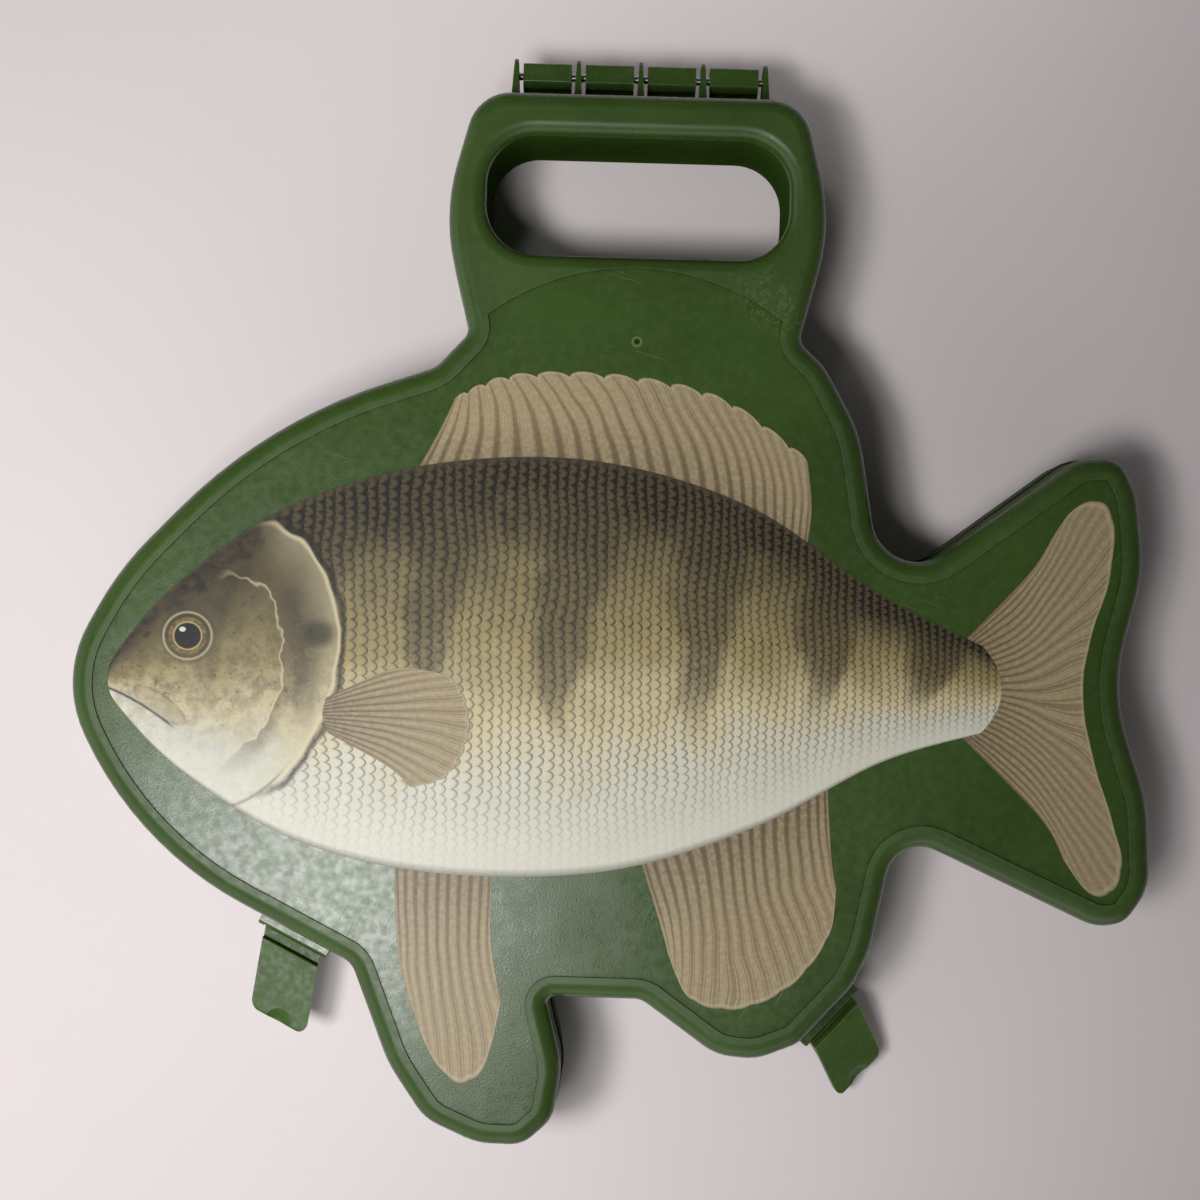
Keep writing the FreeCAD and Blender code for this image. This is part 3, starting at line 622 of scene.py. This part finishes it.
def fin_print(name, rays, spines=0.0):
    """Printed fin with rays from its base to its edge; spines is the share of the rays that are stiff."""
    fish = settings().fish
    material, tree, shader = new_material("printed_" + name)
    place = object_place(tree)
    uv = add_node(tree, "UVMap", uv_map="print").outputs[0]
    fan, outward, _ = split(tree, uv)
    wobble = remap(tree, noise(tree, place, 26 * MM, detail=1), 0.3, 0.7, -0.35, 0.35)
    beat = maths(tree, "ADD", maths(tree, "MULTIPLY", fan, rays), maths(tree, "MULTIPLY", wobble, outward))
    soft = remap(tree, fan, spines, spines + 0.06)
    ray = ray_lines(tree, beat, remap(tree, outward, 0.0, 1.0, 0.26, 0.10))
    fork = maths(tree, "MULTIPLY", soft, remap(tree, outward, 0.30, 0.60, smooth=True))
    twig = ray_lines(tree, maths(tree, "MULTIPLY", beat, 2.0), remap(tree, outward, 0.3, 1.0, 0.18, 0.12))
    twig = maths(tree, "MULTIPLY", twig, fork)
    hair = ray_lines(tree, maths(tree, "MULTIPLY", beat, 6.0), 0.22)
    hair = maths(tree, "MULTIPLY", hair, remap(tree, outward, 0.1, 0.5, 0.2, 1.0))

    speckle = noise(tree, place, 1.6 * MM, detail=4)
    base = blend_colours(tree, remap(tree, outward, 0.0, 0.55), tuple(v * 0.5 for v in fish.fin), tuple(fish.fin))
    base = blend_colours(tree, remap(tree, speckle, 0.4, 0.65, 0.0, 0.3), base, linear(196, 182, 148))
    colour = blend_colours(tree, maths(tree, "MULTIPLY", hair, 0.16), base, tuple(fish.ray))
    strength = remap(tree, outward, 0.1, 0.9, 0.75, 0.36)
    colour = blend_colours(tree, maths(tree, "MULTIPLY", ray, strength), colour, tuple(fish.ray))
    colour = blend_colours(tree, maths(tree, "MULTIPLY", twig, 0.3), colour, tuple(fish.ray))
    pale_edge = remap(tree, outward, 0.95, 0.99, 0.0, 0.4)
    colour = blend_colours(tree, pale_edge, colour, linear(214, 204, 176))
    sides = maths(tree, "MINIMUM", fan, maths(tree, "SUBTRACT", 1.0, fan))
    rim = maths(tree, "MINIMUM", sides, maths(tree, "MULTIPLY", maths(tree, "SUBTRACT", 1.0, outward), 0.5))
    colour = blend_colours(tree, remap(tree, rim, 0.0, 0.012, 0.75, 0.0), colour, linear(84, 70, 48))
    tree.links.new(colour, shader.inputs["Base Color"])
    film_surface(tree, shader, place)
    return material


def floor_finish():
    """Pale smooth table top, a little uneven in tone, that the camera sees fade to white far away."""
    material, tree, shader = new_material("pale_table")
    place = object_place(tree)
    cloud = noise(tree, place, 160 * MM, detail=4)
    fine = noise(tree, place, 5 * MM, detail=6)
    floor = tuple(settings().stage.floor)
    colour = blend_colours(tree, remap(tree, cloud, 0.3, 0.7), tuple(v * 0.97 for v in floor), floor)
    tree.links.new(colour, shader.inputs["Base Color"])
    tree.links.new(remap(tree, fine, 0.3, 0.7, 0.5, 0.6), shader.inputs["Roughness"])
    away = add_node(tree, "VectorMath", ((0, place),), operation="LENGTH").outputs["Value"]
    seen = add_node(tree, "LightPath").outputs["Is Camera Ray"]
    share = maths(tree, "MULTIPLY", remap(tree, away, 0.32, 1.1, smooth=True), seen)
    white = add_node(tree, "Emission", ((0, (0.95, 0.94, 0.95, 1.0)), (1, 1.0)))
    mixed = add_node(tree, "MixShader", ((0, share), (1, shader.outputs[0]), (2, white.outputs[0])))
    tree.links.new(mixed.outputs[0], tree.nodes["Material Output"].inputs["Surface"])
    return material


# Modelling helpers

def only(piece):
    """Selects one piece and makes it active."""
    bpy.ops.object.select_all(action="DESELECT")
    piece.select_set(True)
    bpy.context.view_layer.objects.active = piece


def finish_piece(piece, material, body, slot, *nodes):
    """Gives a finished piece its material and its body."""
    piece.data.materials.clear()
    piece.data.materials.append(material)
    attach(piece, body)
    if nodes:
        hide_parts(*nodes)


def moulding_from(node, name, edge_round):
    """A merged copy of a moulding with its sharp edges slightly rounded and its curves shaded smooth."""
    piece = bpy.data.objects.new(name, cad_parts[node].data.copy())
    bpy.context.scene.collection.objects.link(piece)
    only(piece)
    bpy.ops.object.mode_set(mode="EDIT")
    bpy.ops.mesh.select_all(action="SELECT")
    bpy.ops.mesh.remove_doubles(threshold=0.002 * MM)
    bpy.ops.mesh.customdata_custom_splitnormals_clear()
    bpy.ops.mesh.dissolve_limited(angle_limit=math.radians(0.2))
    bpy.ops.object.mode_set(mode="OBJECT")
    bpy.ops.object.shade_smooth_by_angle(angle=math.radians(30))
    if edge_round > 0:
        rounding = piece.modifiers.new("edge_round", "BEVEL")
        rounding.width = edge_round
        rounding.segments = 2
        rounding.limit_method = "ANGLE"
        rounding.angle_limit = math.radians(35)
        rounding.use_clamp_overlap = True
        rounding.miter_outer = "MITER_ARC"
        bpy.ops.object.modifier_apply(modifier=rounding.name)
        bpy.ops.object.shade_smooth_by_angle(angle=math.radians(40))
    weights = piece.modifiers.new("face_weights", "WEIGHTED_NORMAL")
    weights.keep_sharp = True
    weights.weight = 100
    bpy.ops.object.modifier_apply(modifier=weights.name)
    return piece


def through_points(points, share):
    """Point on the smooth line through the points, at a share of its length from 0 to 1."""
    spans = len(points) - 1
    place = min(max(share, 0.0), 1.0) * spans
    index = min(int(place), spans - 1)
    t = place - index
    before = points[max(index - 1, 0)]
    start, end = points[index], points[index + 1]
    after = points[min(index + 2, spans)]
    return tuple(
        0.5 * (2 * b + (c - a) * t + (2 * a - 5 * b + 4 * c - d) * t * t + (3 * b - a - 3 * c + d) * t ** 3)
        for a, b, c, d in zip(before, start, end, after)
    )


def printed_strip(name, lines, columns, rows, bottom, top, scallops=0, scallop_depth=0.0, bulge=0.0):
    """Thin printed film between guide lines, with a UV map; bulge rounds its far end."""
    bpy.ops.object.select_all(action="DESELECT")
    bpy.ops.mesh.primitive_grid_add(x_subdivisions=columns, y_subdivisions=rows, size=1)
    piece = bpy.context.active_object
    piece.name = name
    mesh = piece.data
    mesh.uv_layers[0].name = "print"
    for corner, loop in enumerate(mesh.loops):
        flat = mesh.vertices[loop.vertex_index].co
        mesh.uv_layers[0].data[corner].uv = (flat.x + 0.5, flat.y + 0.5)
    for vertex in mesh.vertices:
        along, across = vertex.co.x + 0.5, vertex.co.y + 0.5
        guides = [through_points(line, along) for line in lines]
        if scallops:
            dip = abs(math.sin(math.pi * along * scallops)) ** 0.7
            across = across * (1 - scallop_depth * (1 - dip))
        x, y = through_points(guides, across) if len(guides) > 2 else (
            guides[0][0] + (guides[1][0] - guides[0][0]) * across,
            guides[0][1] + (guides[1][1] - guides[0][1]) * across,
        )
        x += bulge * (1 - (2 * across - 1) ** 2) * along ** 12
        vertex.co = (x * MM, y * MM, bottom)
    only(piece)
    film = piece.modifiers.new("film", "SOLIDIFY")
    film.thickness = top - bottom
    film.offset = 0
    bpy.ops.object.modifier_apply(modifier=film.name)
    bpy.ops.object.mode_set(mode="EDIT")
    bpy.ops.mesh.select_all(action="SELECT")
    bpy.ops.mesh.remove_doubles(threshold=0.0001 * MM)
    bpy.ops.mesh.normals_make_consistent(inside=False)
    bpy.ops.object.mode_set(mode="OBJECT")
    mesh.transform(Matrix.Translation((0, 0, (top - bottom) / 2)))
    return piece


# Operators

class TACKLE_OT_case_halves(Operator):
    """Make the two moulded halves of the case"""

    bl_idname = "tackle.case_halves"
    bl_label = "Case halves"

    def execute(self, context):
        plastic = case_plastic()
        edge_round = settings().case.edge_round
        back = moulding_from("back_shell", "case_back", edge_round)
        finish_piece(back, plastic, "back_half", "case_plastic", "back_shell")
        front = moulding_from("front_shell", "case_front", edge_round)
        finish_piece(front, plastic, "front_half", "case_plastic", "front_shell")
        return {"FINISHED"}


class TACKLE_OT_latches(Operator):
    """Make the two latches"""

    bl_idname = "tackle.latches"
    bl_label = "Latches"

    def execute(self, context):
        plastic = latch_plastic()
        for node, name, body in (
            ("latch_nose", "throat_latch", "nose_latch"),
            ("latch_tail", "rear_latch", "tail_latch"),
        ):
            piece = moulding_from(node, name, 0.0)
            finish_piece(piece, plastic, body, "latch_plastic", node)
        return {"FINISHED"}


class TACKLE_OT_hinge_pin(Operator):
    """Make the wire pin of the hinge"""

    bl_idname = "tackle.hinge_pin"
    bl_label = "Hinge pin"

    def execute(self, context):
        piece = moulding_from("hinge_pin", "hinge_wire", 0.2 * MM)
        finish_piece(piece, pin_steel(), "back_half", "pin_steel", "hinge_pin")
        return {"FINISHED"}


class TACKLE_OT_dividers(Operator):
    """Make the loose dividers of the tray"""

    bl_idname = "tackle.dividers"
    bl_label = "Dividers"

    def execute(self, context):
        plastic = divider_plastic()
        for node in DIVIDERS:
            piece = moulding_from(node, "tray_" + node, 0.2 * MM)
            finish_piece(piece, plastic, "back_half", "divider_plastic", node)
        return {"FINISHED"}


class TACKLE_OT_printed_fish(Operator):
    """Make the printed fish on the front panel"""

    bl_idname = "tackle.printed_fish"
    bl_label = "Printed fish"

    def execute(self, context):
        base = PANEL_TOP + 0.01 * MM
        step = (PRINT_TOP - base) / 3
        fins = (
            ("tail_fin", (TAIL_BASE, TAIL_MIDDLE, TAIL_EDGE), 26, 0.0, 13, 0.012),
            ("back_fin", (BACK_FIN_BASE, BACK_FIN_MIDDLE, BACK_FIN_EDGE), 26, 0.45, 13, 0.08),
            ("belly_fin", (BELLY_FIN_BASE, BELLY_FIN_MIDDLE, BELLY_FIN_EDGE), 10, 0.0, 5, 0.015),
            ("rear_fin", (REAR_FIN_BASE, REAR_FIN_MIDDLE, REAR_FIN_EDGE), 17, 0.15, 9, 0.02),
        )
        for name, lines, rays, spines, scallops, depth in fins:
            piece = printed_strip("print_" + name, lines, rays * 8, 24, base, base + step, scallops, depth)
            finish_piece(piece, fin_print(name, rays, spines), "front_half", "print_ink")
        body = printed_strip("print_body", (FISH_BELLY, FISH_BACK), 160, 40, base + step, base + 2 * step, bulge=7)
        finish_piece(body, fish_skin(), "front_half", "print_ink", "fish_print")
        side = (SIDE_FIN_BASE, SIDE_FIN_MIDDLE, SIDE_FIN_EDGE)
        piece = printed_strip("print_side_fin", side, 104, 24, base + 2 * step, PRINT_TOP, 13, 0.03)
        finish_piece(piece, fin_print("side_fin", 13), "front_half", "print_ink")
        return {"FINISHED"}


class TACKLE_OT_stage(Operator):
    """Make the floor, the lamps and the camera"""

    bl_idname = "tackle.stage"
    bl_label = "Stage"

    def execute(self, context):
        stage = settings().stage
        bpy.ops.object.select_all(action="DESELECT")
        bpy.ops.mesh.primitive_circle_add(vertices=96, radius=4.0, fill_type="NGON")
        floor = bpy.context.active_object
        floor.name = "table_top"
        floor.data.materials.append(floor_finish())
        self.spot("key_lamp", (-0.42, -0.14, 1.15), (-0.28, -0.08, 0.0), 54, stage.key_power)
        self.spot("lid_lamp", (-0.25, 0.62, 1.15), (0.02, 0.45, 0.0), 30, stage.key_power * 0.8)
        self.lamp("sheen_lamp", (-0.21, -0.22, 1.10), 0.22, stage.sheen_power)
        self.sky(stage.sky)
        self.camera(stage)
        context.scene.view_settings.view_transform = "Standard"
        return {"FINISHED"}

    def lamp(self, name, place, size, power):
        """Square soft lamp that looks at the middle of the object."""
        light = bpy.data.lights.new(name, "AREA")
        light.size = size
        light.energy = power
        lamp = bpy.data.objects.new(name, light)
        bpy.context.scene.collection.objects.link(lamp)
        lamp.location = place
        lamp.rotation_euler = (-Vector(place)).to_track_quat("-Z", "Y").to_euler()

    def spot(self, name, place, aim, cone, power):
        """Soft-edged lamp whose light falls off from where it aims to the edge of its cone, in degrees."""
        light = bpy.data.lights.new(name, "SPOT")
        light.energy = power
        light.spot_size = math.radians(cone)
        light.spot_blend = 1.0
        light.shadow_soft_size = 0.12
        lamp = bpy.data.objects.new(name, light)
        bpy.context.scene.collection.objects.link(lamp)
        lamp.location = place
        lamp.rotation_euler = (Vector(aim) - Vector(place)).to_track_quat("-Z", "Y").to_euler()
        lamp.visible_glossy = False

    def sky(self, strength):
        """Light from a window side of the room under a dark ceiling; the camera sees it white."""
        world = bpy.data.worlds.new("studio")
        bpy.context.scene.world = world
        world.use_nodes = True
        tree = world.node_tree
        background = tree.nodes["Background"]
        background.inputs["Color"].default_value = (0.93, 0.92, 0.93, 1.0)
        way = add_node(tree, "TexCoord").outputs["Generated"]
        toward = add_node(tree, "VectorMath", ((0, way), (1, (-0.62, -0.74, 0.26))), operation="DOT_PRODUCT")
        window = remap(tree, toward.outputs["Value"], -0.1, 0.85, 0.10, 1.0, smooth=True)
        overhead = remap(tree, split(tree, way)[2], 0.30, 0.85, strength, strength * 0.12, smooth=True)
        room = maths(tree, "MULTIPLY", window, overhead)
        path = add_node(tree, "LightPath")
        shown = maths(tree, "MAXIMUM", path.outputs["Is Camera Ray"], path.outputs["Is Transmission Ray"])
        level = add_node(tree, "Mix", ((0, shown), (2, room), (3, 1.0))).outputs[0]
        tree.links.new(level, background.inputs["Strength"])

    def camera(self, stage):
        """Camera straight above the case, with the picture turned as in the photograph."""
        view = bpy.data.cameras.new("camera")
        view.sensor_fit = "HORIZONTAL"
        view.angle = stage.view_angle
        view.clip_start = 0.01
        camera = bpy.data.objects.new("camera", view)
        bpy.context.scene.collection.objects.link(camera)
        camera.location = (-3.8 * MM, -0.8 * MM, stage.camera_height)
        camera.rotation_euler = (0, 0, stage.camera_turn)
        bpy.context.scene.camera = camera


STEPS = (
    TACKLE_OT_case_halves,
    TACKLE_OT_latches,
    TACKLE_OT_hinge_pin,
    TACKLE_OT_dividers,
    TACKLE_OT_printed_fish,
    TACKLE_OT_stage,
)


class TACKLE_PT_sidebar(Panel):
    """Lists the steps that build the tackle box"""

    bl_idname = "TACKLE_PT_sidebar"
    bl_label = "Tackle box"
    bl_space_type = "VIEW_3D"
    bl_region_type = "UI"
    bl_category = "Tackle Box"

    def draw(self, context):
        box = context.scene.tackle_box
        for group in (box.case, box.fish, box.stage):
            column = self.layout.column(align=True)
            for name in group.__annotations__:
                column.prop(group, name)
        for step in STEPS:
            self.layout.operator(step.bl_idname)


CLASSES = (CaseFinish, PrintDesign, StageSettings, TackleBoxSettings) + STEPS + (TACKLE_PT_sidebar,)


def register():
    for each in CLASSES:
        bpy.utils.register_class(each)
    bpy.types.Scene.tackle_box = PointerProperty(type=TackleBoxSettings)


def unregister():
    del bpy.types.Scene.tackle_box
    for each in reversed(CLASSES):
        bpy.utils.unregister_class(each)


def main():
    register()
    bpy.ops.tackle.case_halves()
    bpy.ops.tackle.latches()
    bpy.ops.tackle.hinge_pin()
    bpy.ops.tackle.dividers()
    bpy.ops.tackle.printed_fish()
    bpy.ops.tackle.stage()


if __name__ == "__main__":
    main()
